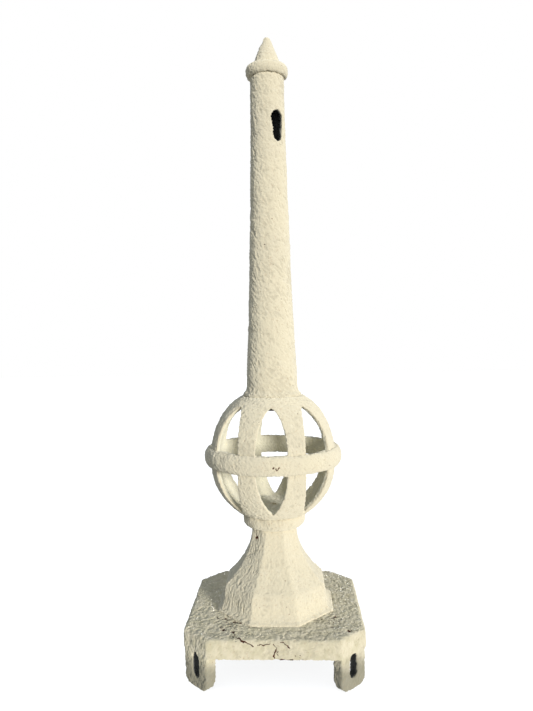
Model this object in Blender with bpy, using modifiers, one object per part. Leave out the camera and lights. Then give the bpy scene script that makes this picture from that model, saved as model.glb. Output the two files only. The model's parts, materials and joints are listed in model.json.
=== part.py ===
"""Cast-iron garden obelisk, built up from separate castings bolted on one axis.

A square post cap with four slotted lugs carries an octagonal pedestal, an
openwork ball made of two cages with a bead ring over their seam, a hollow
tapered spire and a pointed tip. Metres, +Z up. The origin is on the ground,
under the axis, and -Y is the front.
"""
import math

import bmesh
import bpy
from mathutils import Matrix

GAP = 0.0003          # clearance kept between two castings that touch
WELD = 0.00001        # distance under which vertices are one
REACH = 0.002         # how far a cutter runs past the face it cuts
FRONT = math.radians(-90)
QUARTER = math.radians(90)
SHARP_ANGLE = math.radians(35)

CREAM = (0.80, 0.74, 0.58)
IRON = (0.22, 0.16, 0.12)

# Post cap: a square tray, open below, with its corners cut off
PLATE_WIDTH = 0.2310
CORNER_CUT = 0.034
SKIRT_HEIGHT = 0.0244
SKIRT_WALL = 0.0065
WEB_THICKNESS = 0.007
RIM_ROUNDING = 0.0045
ACCESS_HOLE_RADIUS = 0.036

# Lugs: channels that hang down from the cut corners, beside the post
LUG_DROP = 0.0426
LUG_WIDTH = 0.0455
LUG_DEPTH = 0.016
LUG_WALL = 0.005
LUG_SETBACK = 0.0003
LUG_FLANGE = 0.0105
LUG_FOOT_WIDTH = 0.034
LUG_FOOT_HEIGHT = 0.005
LUG_POCKET_FLOOR = 0.0125
LUG_HEEL_DEPTH = 0.008
LUG_HEEL_HEIGHT = 0.012
SLOT_WIDTH = 0.013
SLOT_LOW = 0.013
SLOT_HIGH = 0.043
SLOT_ARC_STEPS = 8
LUGS = 4

PLATE_TOP = LUG_DROP + SKIRT_HEIGHT
SKIRT_BOTTOM = LUG_DROP
WEB_BOTTOM = PLATE_TOP - WEB_THICKNESS

# Pedestal: octagonal, corner radii; heights from here on are above the plate
FOOT_RADIUS = 0.0835
FOOT_LIP = 0.002
PLINTH_RADIUS = 0.0743
PLINTH_LOW = 0.0175
SHOULDER_RADIUS = 0.0717
SHOULDER_HEIGHT = 0.034
NECK_RADIUS = 0.0324
NECK_HEIGHT = 0.1085
SWEEP_POWER = 2.15
PEDESTAL_WALL = 0.0065
PEDESTAL_DECK = 0.008
FLANGE_BORE = 0.052
FLANGE_HEIGHT = 0.014
OCTAGON = 8
SWEEP_POINTS = 10
INNER_SWEEP_POINTS = 8
QUARTER_POINTS = 5              # on each quarter curve of a casting's profile

# Neck collar
COLLAR_RADIUS = 0.0423
COLLAR_TOP = 0.1255
COLLAR_EDGE = 0.0017
COLLAR_FLARE = 0.0095
SPIGOT_HEIGHT = 0.003
LOWER_SPIGOT_RADIUS = 0.015
UPPER_SPIGOT_RADIUS = 0.024

# Openwork ball: two domes whose centres stand apart by the seam band
BALL_RADIUS = 0.0861
BALL_WALL = 0.0064
BALL_DECK = 0.010
SEAM_HEIGHT = 0.2054
DOME_OFFSET = 0.0059
CROWN_HEIGHT = 0.2865
TONGUE_HEIGHT = 0.003
RIBS = 8
GAP_FOOT_HALF_WIDTH = 0.0206
GAP_FOOT_RISE = 0.0125
GAP_APEX_RISE = 0.0695
# Bends of a gap's side, as shares of its foot's half width and its point's rise
UPPER_GAP_BENDS = ((0.95, 0.54), (0.60, 0.90))
LOWER_GAP_BENDS = ((0.93, 0.50), (0.52, 0.84))
GAP_SIDE_STEPS = 7
GAP_CUT_DEPTH = 0.062
DOME_POINTS = 9
INNER_DOME_POINTS = 8

# Bead ring over the seam
RING_RADIUS = 0.0936
RING_HALF_HEIGHT = 0.0125
BEAD_POWER = 0.8                # below 1, the bead is fuller than a circle
BEAD_STEPS = 8

# Spire: hollow, tapering on a gentle curve
SPIRE_TOP = 0.716
SPIRE_TOP_RADIUS = 0.0229
SPIRE_FOOT_RADIUS = 0.0391
SPIRE_FOOT_LIP = 0.004
SPIRE_NECK_HEIGHT = 0.3025
SPIRE_NECK_RADIUS = 0.0345
SPIRE_TAPER_POWER = 1.68
SPIRE_WALL = 0.0055
SPIRE_BRIDGE = 0.012
CORE_HOLE_AZIMUTH = math.radians(37)
CORE_HOLE_LOW = 0.627
CORE_HOLE_HIGH = 0.668
CORE_HOLE_TOP_WIDTH = 0.017
CORE_HOLE_FOOT_WIDTH = 0.011
CORE_HOLE_ARC_STEPS = 6
SPIRE_SIDE_POINTS = 10
INNER_SPIRE_POINTS = 5

# Cap ring and tip
CAP_RADIUS = 0.0286
CAP_TOP = 0.7325
CAP_SHELF_RADIUS = 0.0185
CAP_SPIGOT_LENGTH = 0.014
TIP_RADIUS = 0.0180
TIP_TOP = 0.7710
TIP_POWER = 0.62
TIP_STEPS = 6
TIP_SPIGOT_RADIUS = 0.009
TIP_SPIGOT_LENGTH = 0.034

# Fasteners
M12_RADIUS = 0.006
M12_HEAD_RADIUS = 0.012
M12_HEAD_HEIGHT = 0.006
M12_HEX_RADIUS = 0.0110
M12_HEX_HEIGHT = 0.0075
M12_NUT_HEIGHT = 0.010
M12_WASHER_RADIUS = 0.0125
M12_WASHER_THICKNESS = 0.0025
M12_TAIL = 0.003
M8_RADIUS = 0.004
M8_HEAD_RADIUS = 0.008
M8_HEAD_HEIGHT = 0.004
M8_CIRCLE_RADIUS = 0.060
M8_REACH = 0.0115
PEDESTAL_SCREWS = 4
M4_RADIUS = 0.002
M4_HEAD_RADIUS = 0.0038
M4_HEAD_HEIGHT = 0.002
M4_END_RADIUS = 0.0896
M4_OFFSET = 0.0072
RING_SCREWS_A_ROW = 4
PIN_RADIUS = 0.0025
PIN_HEIGHT = 0.7065
SOCKET_RADIUS = 0.0035
SOCKET_DEPTH = 0.0035

# Facets round a turned piece
WIDE_STEPS = 40
ROUND_STEPS = 36
BOLT_STEPS = 16
SCREW_STEPS = 12
HEXAGON = 6


def level(height):
    """World height of a point given above the plate's top face."""
    return PLATE_TOP + height


def clear_scene():
    for item in list(bpy.data.objects):
        bpy.data.objects.remove(item, do_unlink=True)


def make_collection(name):
    collection = bpy.data.collections.new(name)
    bpy.context.scene.collection.children.link(collection)
    return collection


def make_material(name, color, roughness, metallic):
    material = bpy.data.materials.new(name)
    material.use_nodes = True
    shader = material.node_tree.nodes["Principled BSDF"]
    shader.inputs["Base Color"].default_value = (*color, 1.0)
    shader.inputs["Roughness"].default_value = roughness
    shader.inputs["Metallic"].default_value = metallic
    material.diffuse_color = (*color, 1.0)
    return material


def add_object(name, mesh, collection):
    item = bpy.data.objects.new(name, mesh)
    collection.objects.link(item)
    return item


# ---- shapes ---------------------------------------------------------------

def turned(name, profile, steps, collection, closed=True):
    """Solid turned round Z from (radius, height) points, outer side downwards."""
    mesh = bpy.data.meshes.new(name)
    points = [(radius, 0.0, height) for radius, height in profile]
    edges = [(i, i + 1) for i in range(len(points) - 1)]
    if closed:
        edges.append((len(points) - 1, 0))
    mesh.from_pydata(points, edges, [])
    item = add_object(name, mesh, collection)
    screw = item.modifiers.new("Turn", "SCREW")
    screw.angle = math.tau
    screw.steps = steps
    screw.render_steps = steps
    screw.use_merge_vertices = True
    screw.merge_threshold = WELD
    return item


def outline_solid(name, points, thickness, matrix, collection):
    """Flat outline with the given thickness; its X, Y and Z go where matrix says."""
    curve = bpy.data.curves.new(name, "CURVE")
    curve.dimensions = "2D"
    curve.fill_mode = "BOTH"
    curve.extrude = thickness / 2
    spline = curve.splines.new("POLY")
    spline.points.add(len(points) - 1)
    for target, (x, y) in zip(spline.points, points):
        target.co = (x, y, 0.0, 1.0)
    spline.use_cyclic_u = True
    guide = add_object(name + "_outline", curve, collection)
    bpy.context.view_layer.update()
    evaluated = guide.evaluated_get(bpy.context.evaluated_depsgraph_get())
    mesh = bpy.data.meshes.new_from_object(evaluated)
    bpy.data.objects.remove(guide, do_unlink=True)
    shape = bmesh.new()
    shape.from_mesh(mesh)
    bmesh.ops.remove_doubles(shape, verts=shape.verts, dist=WELD)
    bmesh.ops.recalc_face_normals(shape, faces=shape.faces)
    shape.to_mesh(mesh)
    shape.free()
    item = add_object(name, mesh, collection)
    item.matrix_world = matrix
    return item


def block(name, size, center, collection):
    shape = bmesh.new()
    matrix = Matrix.Translation(center) @ Matrix.Diagonal((*size, 1.0))
    bmesh.ops.create_cube(shape, size=1.0, matrix=matrix)
    mesh = bpy.data.meshes.new(name)
    shape.to_mesh(mesh)
    shape.free()
    return add_object(name, mesh, collection)


def cut_corner_tray(name, width, low, high, corner_cut, rounding, collection):
    """Square block with its upright edges cut off and its top edges rounded."""
    item = block(name, (width, width, high - low), (0, 0, (low + high) / 2), collection)
    shape = bmesh.new()
    shape.from_mesh(item.data)
    upright = [e for e in shape.edges if abs(e.verts[0].co.z - e.verts[1].co.z) > rounding]
    bmesh.ops.bevel(shape, geom=upright, offset=corner_cut, segments=1, affect="EDGES")
    if rounding:
        top = [e for e in shape.edges if min(v.co.z for v in e.verts) > high - WELD]
        bmesh.ops.bevel(shape, geom=top, offset=rounding, segments=3, profile=0.5, affect="EDGES")
    shape.to_mesh(item.data)
    shape.free()
    return item


def place_radially(radius, height, azimuth):
    """Matrix that stands a Z-axis piece on a radius, pointing outwards."""
    turn = Matrix.Rotation(azimuth, 4, "Z")
    tilt = Matrix.Rotation(QUARTER, 4, "Y")
    return turn @ Matrix.Translation((radius, 0, height)) @ tilt


def face_outwards(radius, height, azimuth):
    """Matrix for an outline: X runs round the axis, Y goes up, Z points outwards."""
    turn = Matrix.Rotation(azimuth + QUARTER, 4, "Z")
    stand = Matrix.Rotation(QUARTER, 4, "X")
    return turn @ Matrix.Translation((0, -radius, height)) @ stand


def combine(item, others, operation, solver="EXACT"):
    """Add a Boolean for each other solid; nearly level walls need the manifold solver."""
    for other in others:
        boolean = item.modifiers.new(other.name, "BOOLEAN")
        boolean.object = other
        boolean.operation = operation
        boolean.solver = solver


def settle(item, material, smooth=True):
    """Replace the modifiers with their result and give it its finish."""
    bpy.context.view_layer.update()
    evaluated = item.evaluated_get(bpy.context.evaluated_depsgraph_get())
    mesh = bpy.data.meshes.new_from_object(evaluated)
    shape = bmesh.new()
    shape.from_mesh(mesh)
    bmesh.ops.remove_doubles(shape, verts=shape.verts, dist=WELD)
    bmesh.ops.dissolve_degenerate(shape, edges=shape.edges, dist=WELD)
    shape.to_mesh(mesh)
    shape.free()
    mesh.name = item.name
    item.modifiers.clear()
    item.data = mesh
    mesh.materials.clear()
    mesh.materials.append(material)
    if smooth:
        mesh.shade_smooth()
        mesh.set_sharp_from_angle(angle=SHARP_ANGLE)
    return item


def arc(radius, center_height, start, end, count):
    """(radius, height) points on a circle about the axis, angles from the equator."""
    angles = [start + (end - start) * i / (count - 1) for i in range(count)]
    return [(radius * math.cos(a), center_height + radius * math.sin(a)) for a in angles]


def angle_at_height(radius, rise):
    return math.asin(rise / radius)


def screw_profile(length, radius, head_radius, head_height, grow=0.0, reach=0.0):
    """Countersunk screw from its head at z=0 to its end at z=-length.

    The hole for it is the same shape, grown by the clearance, and it runs
    past the head's face by reach.
    """
    profile = [(0.0, reach), (head_radius + grow, reach)]
    if reach:
        profile.append((head_radius + grow, 0.0))
    profile += [(radius + grow, -head_height), (radius + grow, -length - grow), (0.0, -length - grow)]
    return profile


# ---- post cap -------------------------------------------------------------

def lug_face_distance():
    return (PLATE_WIDTH - CORNER_CUT) / math.sqrt(2)


def lug_azimuth(index):
    return QUARTER * (index + 0.5)


def upright_slot(top_radius, foot_radius, low, high, steps):
    """Outline of an upright slot with half-round ends."""
    turn = [math.pi * i / steps for i in range(steps + 1)]
    top_center = high - top_radius
    foot_center = low + foot_radius
    top = [(top_radius * math.cos(a), top_center + top_radius * math.sin(a)) for a in turn]
    foot = [(-foot_radius * math.cos(a), foot_center - foot_radius * math.sin(a)) for a in turn]
    return top + foot


def make_lug(index, cutters):
    azimuth = lug_azimuth(index)
    face = lug_face_distance()
    half = LUG_WIDTH / 2
    foot = LUG_FOOT_WIDTH / 2
    top = WEB_BOTTOM + WEB_THICKNESS / 2
    right = [(foot, 0), (half, LUG_FOOT_HEIGHT), (half, top)]
    outline = [(-x, y) for x, y in reversed(right)] + right
    depth = LUG_DEPTH - LUG_SETBACK
    middle = face - LUG_SETBACK - depth / 2
    lug = outline_solid(f"lug_{index}", outline, depth, face_outwards(middle, 0, azimuth), cutters)

    turn = Matrix.Rotation(azimuth, 4, "Z")
    inner = face - LUG_DEPTH
    pocket_depth = LUG_DEPTH - LUG_WALL + REACH
    pocket_height = WEB_BOTTOM - LUG_POCKET_FLOOR
    pocket = block(
        f"lug_pocket_{index}",
        (pocket_depth, LUG_WIDTH - 2 * LUG_FLANGE, pocket_height),
        (inner - REACH + pocket_depth / 2, 0, LUG_POCKET_FLOOR + pocket_height / 2),
        cutters,
    )
    pocket.matrix_world = turn
    heel_outline = [
        (inner - REACH, -REACH),
        (inner + LUG_HEEL_DEPTH, -REACH),
        (inner + LUG_HEEL_DEPTH, 0),
        (inner, LUG_HEEL_HEIGHT),
        (inner - REACH, LUG_HEEL_HEIGHT),
    ]
    stand = Matrix.Rotation(QUARTER, 4, "X")
    heel = outline_solid(f"lug_heel_{index}", heel_outline, LUG_WIDTH + 2 * REACH, turn @ stand, cutters)
    combine(lug, [pocket, heel], "DIFFERENCE")
    return lug


def make_base_plate(parts, cutters, material):
    plate = cut_corner_tray(
        "base_plate", PLATE_WIDTH, SKIRT_BOTTOM, PLATE_TOP, CORNER_CUT, RIM_ROUNDING, parts
    )
    inner_width = PLATE_WIDTH - 2 * SKIRT_WALL
    inner_cut = CORNER_CUT - SKIRT_WALL * (2 - math.sqrt(2))
    tray = cut_corner_tray("tray", inner_width, SKIRT_BOTTOM - REACH, WEB_BOTTOM, inner_cut, 0, cutters)
    hole = turned(
        "access_hole",
        [(0, PLATE_TOP + REACH), (ACCESS_HOLE_RADIUS, PLATE_TOP + REACH),
         (ACCESS_HOLE_RADIUS, WEB_BOTTOM - REACH), (0, WEB_BOTTOM - REACH)],
        ROUND_STEPS, cutters, closed=False,
    )
    combine(plate, [tray, hole], "DIFFERENCE")
    combine(plate, [make_lug(i, cutters) for i in range(LUGS)], "UNION", "MANIFOLD")

    slots = []
    outline = upright_slot(SLOT_WIDTH / 2, SLOT_WIDTH / 2, SLOT_LOW, SLOT_HIGH, SLOT_ARC_STEPS)
    for index in range(LUGS):
        matrix = face_outwards(lug_face_distance(), 0, lug_azimuth(index))
        slots.append(outline_solid(f"slot_{index}", outline, 2 * LUG_DEPTH, matrix, cutters))
    combine(plate, slots, "DIFFERENCE")
    combine(plate, make_pedestal_screw_holes("plate", cutters), "DIFFERENCE")
    return settle(plate, material)


# ---- pedestal -------------------------------------------------------------

def octagon_round(radius):
    """Corner radius of the octagon that just lets a circle through."""
    return radius / math.cos(math.pi / OCTAGON)


def sweep_radius(height):
    """Corner radius of the pedestal's hollow sweep between shoulder and neck."""
    share = (NECK_HEIGHT - height) / (NECK_HEIGHT - SHOULDER_HEIGHT)
    return NECK_RADIUS + (SHOULDER_RADIUS - NECK_RADIUS) * share ** SWEEP_POWER


def sweep(low, high, count, inset):
    heights = [high + (low - high) * i / (count - 1) for i in range(count)]
    return [(sweep_radius(h) - inset, level(h)) for h in heights]


def foot_fillet(count):
    """Hollow quarter curve from the plinth out to the foot's edge."""
    rise = PLINTH_LOW - FOOT_LIP
    spread = FOOT_RADIUS - PLINTH_RADIUS
    points = []
    for i in range(count):
        a = QUARTER * i / (count - 1)
        points.append((FOOT_RADIUS - spread * math.cos(a), level(PLINTH_LOW - rise * math.sin(a))))
    return points


def make_pedestal_screw_holes(piece, cutters):
    length = WEB_THICKNESS + M8_REACH
    made = []
    for index in range(PEDESTAL_SCREWS):
        profile = screw_profile(length, M8_RADIUS, M8_HEAD_RADIUS, M8_HEAD_HEIGHT, GAP, REACH)
        hole = turned(f"{piece}_screw_hole_{index}", profile, SCREW_STEPS, cutters, closed=False)
        hole.matrix_world = pedestal_screw_place(index)
        made.append(hole)
    return made


def pedestal_screw_place(index):
    turn = Matrix.Rotation(QUARTER * index, 4, "Z")
    over = Matrix.Rotation(2 * QUARTER, 4, "X")
    return turn @ Matrix.Translation((M8_CIRCLE_RADIUS, 0, WEB_BOTTOM)) @ over


def make_pedestal(parts, cutters, material):
    foot = level(GAP)
    inner_top = NECK_HEIGHT - PEDESTAL_DECK
    hole = octagon_round(M12_RADIUS + GAP)
    recess = octagon_round(LOWER_SPIGOT_RADIUS + GAP)
    recess_floor = level(NECK_HEIGHT - SPIGOT_HEIGHT - GAP)
    profile = [(hole, recess_floor), (recess, recess_floor), (recess, level(NECK_HEIGHT))]
    profile += sweep(SHOULDER_HEIGHT, NECK_HEIGHT, SWEEP_POINTS, 0.0)
    profile += foot_fillet(QUARTER_POINTS)
    profile += [(FOOT_RADIUS, foot), (FLANGE_BORE, foot), (FLANGE_BORE, level(FLANGE_HEIGHT))]
    profile += reversed(sweep(SHOULDER_HEIGHT, inner_top, INNER_SWEEP_POINTS, PEDESTAL_WALL))
    profile += [(hole, level(inner_top))]
    pedestal = turned("pedestal", profile, OCTAGON, parts)
    pedestal.rotation_euler.z = math.pi / OCTAGON
    combine(pedestal, make_pedestal_screw_holes("pedestal", cutters), "DIFFERENCE")
    return settle(pedestal, material, smooth=False)


def make_pedestal_screws(parts, material):
    for index in range(PEDESTAL_SCREWS):
        profile = screw_profile(WEB_THICKNESS + M8_REACH, M8_RADIUS, M8_HEAD_RADIUS, M8_HEAD_HEIGHT)
        screw = turned(f"pedestal_screw_{index + 1}", profile, SCREW_STEPS, parts, closed=False)
        screw.matrix_world = pedestal_screw_place(index)
        settle(screw, material)


# ---- neck collar ----------------------------------------------------------

def make_neck_collar(parts, material):
    top = level(COLLAR_TOP)
    bottom = level(NECK_HEIGHT + GAP)
    hole = M12_RADIUS + GAP
    spigot_top = top + SPIGOT_HEIGHT
    spigot_bottom = bottom - SPIGOT_HEIGHT
    flare = []
    for i in range(QUARTER_POINTS):
        a = QUARTER * i / (QUARTER_POINTS - 1)
        radius = COLLAR_RADIUS - (COLLAR_RADIUS - NECK_RADIUS) * (1 - math.cos(a))
        flare.append((radius, bottom + COLLAR_FLARE * (1 - math.sin(a))))
    profile = [
        (hole, spigot_top),
        (UPPER_SPIGOT_RADIUS, spigot_top),
        (UPPER_SPIGOT_RADIUS, top),
        (COLLAR_RADIUS - COLLAR_EDGE, top),
        (COLLAR_RADIUS, top - COLLAR_EDGE),
    ]
    profile += flare
    profile += [
        (LOWER_SPIGOT_RADIUS, bottom),
        (LOWER_SPIGOT_RADIUS, spigot_bottom),
        (hole, spigot_bottom),
    ]
    return settle(turned("neck_collar", profile, ROUND_STEPS, parts), material)


# ---- openwork ball --------------------------------------------------------

def gap_outline(sign):
    """Lancet opening from the ring's edge to its point, up or down from the seam."""
    bends = UPPER_GAP_BENDS if sign > 0 else LOWER_GAP_BENDS
    corners = [(GAP_FOOT_HALF_WIDTH, GAP_FOOT_RISE)]
    corners += [(GAP_FOOT_HALF_WIDTH * x, GAP_APEX_RISE * y) for x, y in bends]
    corners.append((0.0, GAP_APEX_RISE))
    right = []
    for i in range(GAP_SIDE_STEPS + 1):
        t = i / GAP_SIDE_STEPS
        weights = ((1 - t) ** 3, 3 * (1 - t) ** 2 * t, 3 * (1 - t) * t * t, t ** 3)
        x = sum(w * c[0] for w, c in zip(weights, corners))
        y = sum(w * c[1] for w, c in zip(weights, corners))
        right.append((x, y * sign))
    left = [(-x, y) for x, y in reversed(right[:-1])]
    return right + left


def make_gap_cutters(name, sign, cutters):
    middle = BALL_RADIUS - BALL_WALL / 2
    made = []
    for index in range(RIBS):
        azimuth = FRONT + math.tau * index / RIBS
        matrix = face_outwards(middle, level(SEAM_HEIGHT), azimuth)
        made.append(outline_solid(f"{name}_gap_{index}", gap_outline(sign), GAP_CUT_DEPTH, matrix, cutters))
    return made


def ring_screw_places(sign):
    """Azimuth and height of the ring's screws, on every other rib of one cage."""
    first = FRONT + math.pi / RIBS * (1 if sign > 0 else 3)
    height = level(SEAM_HEIGHT + sign * M4_OFFSET)
    return [(first + QUARTER * i, height) for i in range(RING_SCREWS_A_ROW)]


def ring_screw_matrix(azimuth, height):
    inner_face = BALL_RADIUS - BALL_WALL
    inwards = Matrix.Rotation(2 * QUARTER, 4, "X")
    return place_radially(inner_face + GAP, height, azimuth) @ inwards


def make_ring_screw_holes(name, sign, cutters):
    length = M4_END_RADIUS - (BALL_RADIUS - BALL_WALL)
    made = []
    for index, (azimuth, height) in enumerate(ring_screw_places(sign)):
        profile = screw_profile(length, M4_RADIUS, M4_HEAD_RADIUS, M4_HEAD_HEIGHT, GAP, REACH)
        hole = turned(f"{name}_screw_hole_{index}", profile, SCREW_STEPS, cutters, closed=False)
        hole.matrix_world = ring_screw_matrix(azimuth, height)
        made.append(hole)
    return made


def make_upper_cage(parts, cutters, material):
    center = level(SEAM_HEIGHT + DOME_OFFSET)
    crown = level(CROWN_HEIGHT)
    underside = crown - BALL_DECK
    inner = BALL_RADIUS - BALL_WALL
    tongue = BALL_RADIUS - BALL_WALL / 2 + GAP
    seam = level(SEAM_HEIGHT) + GAP / 2
    boss = UPPER_SPIGOT_RADIUS
    hole = M12_RADIUS + GAP
    profile = [(hole, crown + SPIGOT_HEIGHT), (boss, crown + SPIGOT_HEIGHT), (boss, crown)]
    profile += arc(BALL_RADIUS, center, angle_at_height(BALL_RADIUS, crown - center), 0, DOME_POINTS)
    profile += [(BALL_RADIUS, seam), (tongue, seam)]
    profile += [(tongue, seam + TONGUE_HEIGHT), (inner, seam + TONGUE_HEIGHT)]
    profile += arc(inner, center, 0, angle_at_height(inner, underside - center), INNER_DOME_POINTS)[1:]
    profile += [(hole, underside)]
    cage = turned("upper_cage", profile, WIDE_STEPS, parts)
    combine(cage, make_gap_cutters("upper", 1, cutters), "DIFFERENCE")
    combine(cage, make_ring_screw_holes("upper", 1, cutters), "DIFFERENCE")
    return settle(cage, material)


def make_lower_cage(parts, cutters, material):
    center = level(SEAM_HEIGHT - DOME_OFFSET)
    bottom = level(COLLAR_TOP) + GAP
    floor = bottom + BALL_DECK
    inner = BALL_RADIUS - BALL_WALL
    tongue = BALL_RADIUS - BALL_WALL / 2
    seam = level(SEAM_HEIGHT) - GAP / 2
    recess = UPPER_SPIGOT_RADIUS + GAP
    recess_top = bottom + SPIGOT_HEIGHT
    hole = M12_RADIUS + GAP
    head = M12_HEAD_RADIUS + GAP
    profile = [(hole, floor - M12_HEAD_HEIGHT), (head, floor)]
    profile += reversed(arc(inner, center, 0, angle_at_height(inner, floor - center), INNER_DOME_POINTS)[1:])
    profile += [(inner, seam + TONGUE_HEIGHT), (tongue, seam + TONGUE_HEIGHT)]
    profile += [(tongue, seam), (BALL_RADIUS, seam)]
    profile += arc(BALL_RADIUS, center, 0, angle_at_height(BALL_RADIUS, bottom - center), DOME_POINTS)
    profile += [(recess, bottom), (recess, recess_top), (hole, recess_top)]
    cage = turned("lower_cage", profile, WIDE_STEPS, parts)
    combine(cage, make_gap_cutters("lower", -1, cutters), "DIFFERENCE")
    combine(cage, make_ring_screw_holes("lower", -1, cutters), "DIFFERENCE")
    return settle(cage, material)


def bead(top_radius, low_radius, outer, middle, half_height):
    """Points down the outside of a full, rounded ring between two inner radii."""
    points = []
    for i in range(BEAD_STEPS + 1):
        a = QUARTER * (1 - 2 * i / BEAD_STEPS)
        inner = top_radius if a > 0 else low_radius
        swell = max(math.cos(a), 0.0) ** BEAD_POWER
        points.append((inner + (outer - inner) * swell, middle + half_height * math.sin(a)))
    return points


def make_equator_ring(parts, cutters, material):
    inner = BALL_RADIUS + GAP
    profile = bead(inner, inner, RING_RADIUS, level(SEAM_HEIGHT), RING_HALF_HEIGHT)
    ring = turned("equator_ring", profile, WIDE_STEPS, parts)
    holes = make_ring_screw_holes("ring_upper", 1, cutters) + make_ring_screw_holes("ring_lower", -1, cutters)
    combine(ring, holes, "DIFFERENCE")
    return settle(ring, material)


def make_ring_screws(parts, material):
    length = M4_END_RADIUS - (BALL_RADIUS - BALL_WALL)
    places = ring_screw_places(1) + ring_screw_places(-1)
    for index, (azimuth, height) in enumerate(places):
        profile = screw_profile(length, M4_RADIUS, M4_HEAD_RADIUS, M4_HEAD_HEIGHT)
        screw = turned(f"ring_screw_{index + 1}", profile, SCREW_STEPS, parts, closed=False)
        screw.matrix_world = ring_screw_matrix(azimuth, height)
        settle(screw, material)


# ---- spire ----------------------------------------------------------------

def spire_radius(height):
    share = (SPIRE_TOP - height) / (SPIRE_TOP - SPIRE_NECK_HEIGHT)
    return SPIRE_TOP_RADIUS + (SPIRE_NECK_RADIUS - SPIRE_TOP_RADIUS) * share ** SPIRE_TAPER_POWER


def spire_side(low, high, count, inset):
    heights = [high + (low - high) * i / (count - 1) for i in range(count)]
    return [(spire_radius(h) - inset, level(h)) for h in heights]


def make_shaft(parts, cutters, material):
    foot = level(CROWN_HEIGHT) + GAP
    recess = UPPER_SPIGOT_RADIUS + GAP
    bridge_low = foot + SPIGOT_HEIGHT
    bridge_high = bridge_low + SPIRE_BRIDGE
    hole = M12_RADIUS + GAP
    lip = CROWN_HEIGHT + SPIRE_FOOT_LIP
    flare = []
    for i in range(QUARTER_POINTS):
        a = QUARTER * i / (QUARTER_POINTS - 1)
        radius = SPIRE_FOOT_RADIUS - (SPIRE_FOOT_RADIUS - SPIRE_NECK_RADIUS) * math.cos(a)
        flare.append((radius, level(SPIRE_NECK_HEIGHT - (SPIRE_NECK_HEIGHT - lip) * math.sin(a))))
    inner_foot = SPIRE_NECK_HEIGHT + SPIRE_BRIDGE / 2
    profile = spire_side(SPIRE_NECK_HEIGHT, SPIRE_TOP, SPIRE_SIDE_POINTS, 0.0)
    profile += flare[1:]
    profile += [(SPIRE_FOOT_RADIUS, foot), (recess, foot), (recess, bridge_low)]
    profile += [(hole, bridge_low), (hole, bridge_high)]
    profile += reversed(spire_side(inner_foot, SPIRE_TOP, INNER_SPIRE_POINTS, SPIRE_WALL))
    shaft = turned("shaft", profile, ROUND_STEPS, parts)
    matrix = face_outwards(SPIRE_TOP_RADIUS, PLATE_TOP, FRONT + CORE_HOLE_AZIMUTH)
    outline = upright_slot(
        CORE_HOLE_TOP_WIDTH / 2, CORE_HOLE_FOOT_WIDTH / 2, CORE_HOLE_LOW, CORE_HOLE_HIGH, CORE_HOLE_ARC_STEPS
    )
    opening = outline_solid("core_hole", outline, SPIRE_TOP_RADIUS, matrix, cutters)
    combine(shaft, [opening, make_pin_hole("shaft", cutters)], "DIFFERENCE")
    return settle(shaft, material)


def pin_matrix():
    """The pin runs through the axis from side to side, a little below the cap."""
    return Matrix.Translation((0, 0, level(PIN_HEIGHT))) @ Matrix.Rotation(QUARTER, 4, "Y")


def pin_profile(radius, half_length):
    return [(0, half_length), (radius, half_length), (radius, -half_length), (0, -half_length)]


def make_pin_hole(name, cutters):
    profile = pin_profile(PIN_RADIUS + GAP, SPIRE_TOP_RADIUS + REACH)
    hole = turned(f"{name}_pin_hole", profile, SCREW_STEPS, cutters, closed=False)
    hole.matrix_world = pin_matrix()
    return hole


def make_cap_pin(parts, material):
    pin = turned("cap_pin", pin_profile(PIN_RADIUS, SPIRE_TOP_RADIUS - GAP), SCREW_STEPS, parts, closed=False)
    pin.matrix_world = pin_matrix()
    return settle(pin, material)


# ---- cap ring and tip -----------------------------------------------------

def make_cap_ring(parts, cutters, material):
    top = level(CAP_TOP)
    bottom = level(SPIRE_TOP) + GAP
    bore = TIP_SPIGOT_RADIUS + GAP
    spigot = SPIRE_TOP_RADIUS - SPIRE_WALL - GAP
    spigot_end = bottom - CAP_SPIGOT_LENGTH
    profile = [(bore, top)]
    profile += bead(CAP_SHELF_RADIUS, SPIRE_TOP_RADIUS, CAP_RADIUS, (top + bottom) / 2, (top - bottom) / 2)
    profile += [(spigot, bottom), (spigot, spigot_end), (bore, spigot_end)]
    ring = turned("cap_ring", profile, ROUND_STEPS, parts)
    combine(ring, [make_pin_hole("cap_ring", cutters)], "DIFFERENCE")
    return settle(ring, material)


def make_tip(parts, cutters, material):
    foot = level(CAP_TOP) + GAP
    height = level(TIP_TOP) - foot
    shares = [math.cos(QUARTER * i / TIP_STEPS) for i in range(TIP_STEPS + 1)]
    profile = [(TIP_RADIUS * (1 - share) ** TIP_POWER, foot + height * share) for share in shares]
    end = foot - TIP_SPIGOT_LENGTH
    profile += [(TIP_SPIGOT_RADIUS, foot), (TIP_SPIGOT_RADIUS, end), (0, end)]
    tip = turned("tip", profile, ROUND_STEPS, parts, closed=False)
    combine(tip, [make_pin_hole("tip", cutters)], "DIFFERENCE")
    return settle(tip, material)


# ---- bolts through the decks ----------------------------------------------

def make_lower_cage_bolt(parts, material):
    top = level(COLLAR_TOP) + GAP + BALL_DECK
    end = level(NECK_HEIGHT - PEDESTAL_DECK) - M12_WASHER_THICKNESS - M12_NUT_HEIGHT - M12_TAIL
    profile = [
        (0, top - SOCKET_DEPTH),
        (SOCKET_RADIUS, top - SOCKET_DEPTH),
        (SOCKET_RADIUS, top),
        (M12_HEAD_RADIUS, top),
        (M12_RADIUS, top - M12_HEAD_HEIGHT),
        (M12_RADIUS, end),
        (0, end),
    ]
    return settle(turned("lower_cage_bolt", profile, BOLT_STEPS, parts, closed=False), material)


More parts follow.
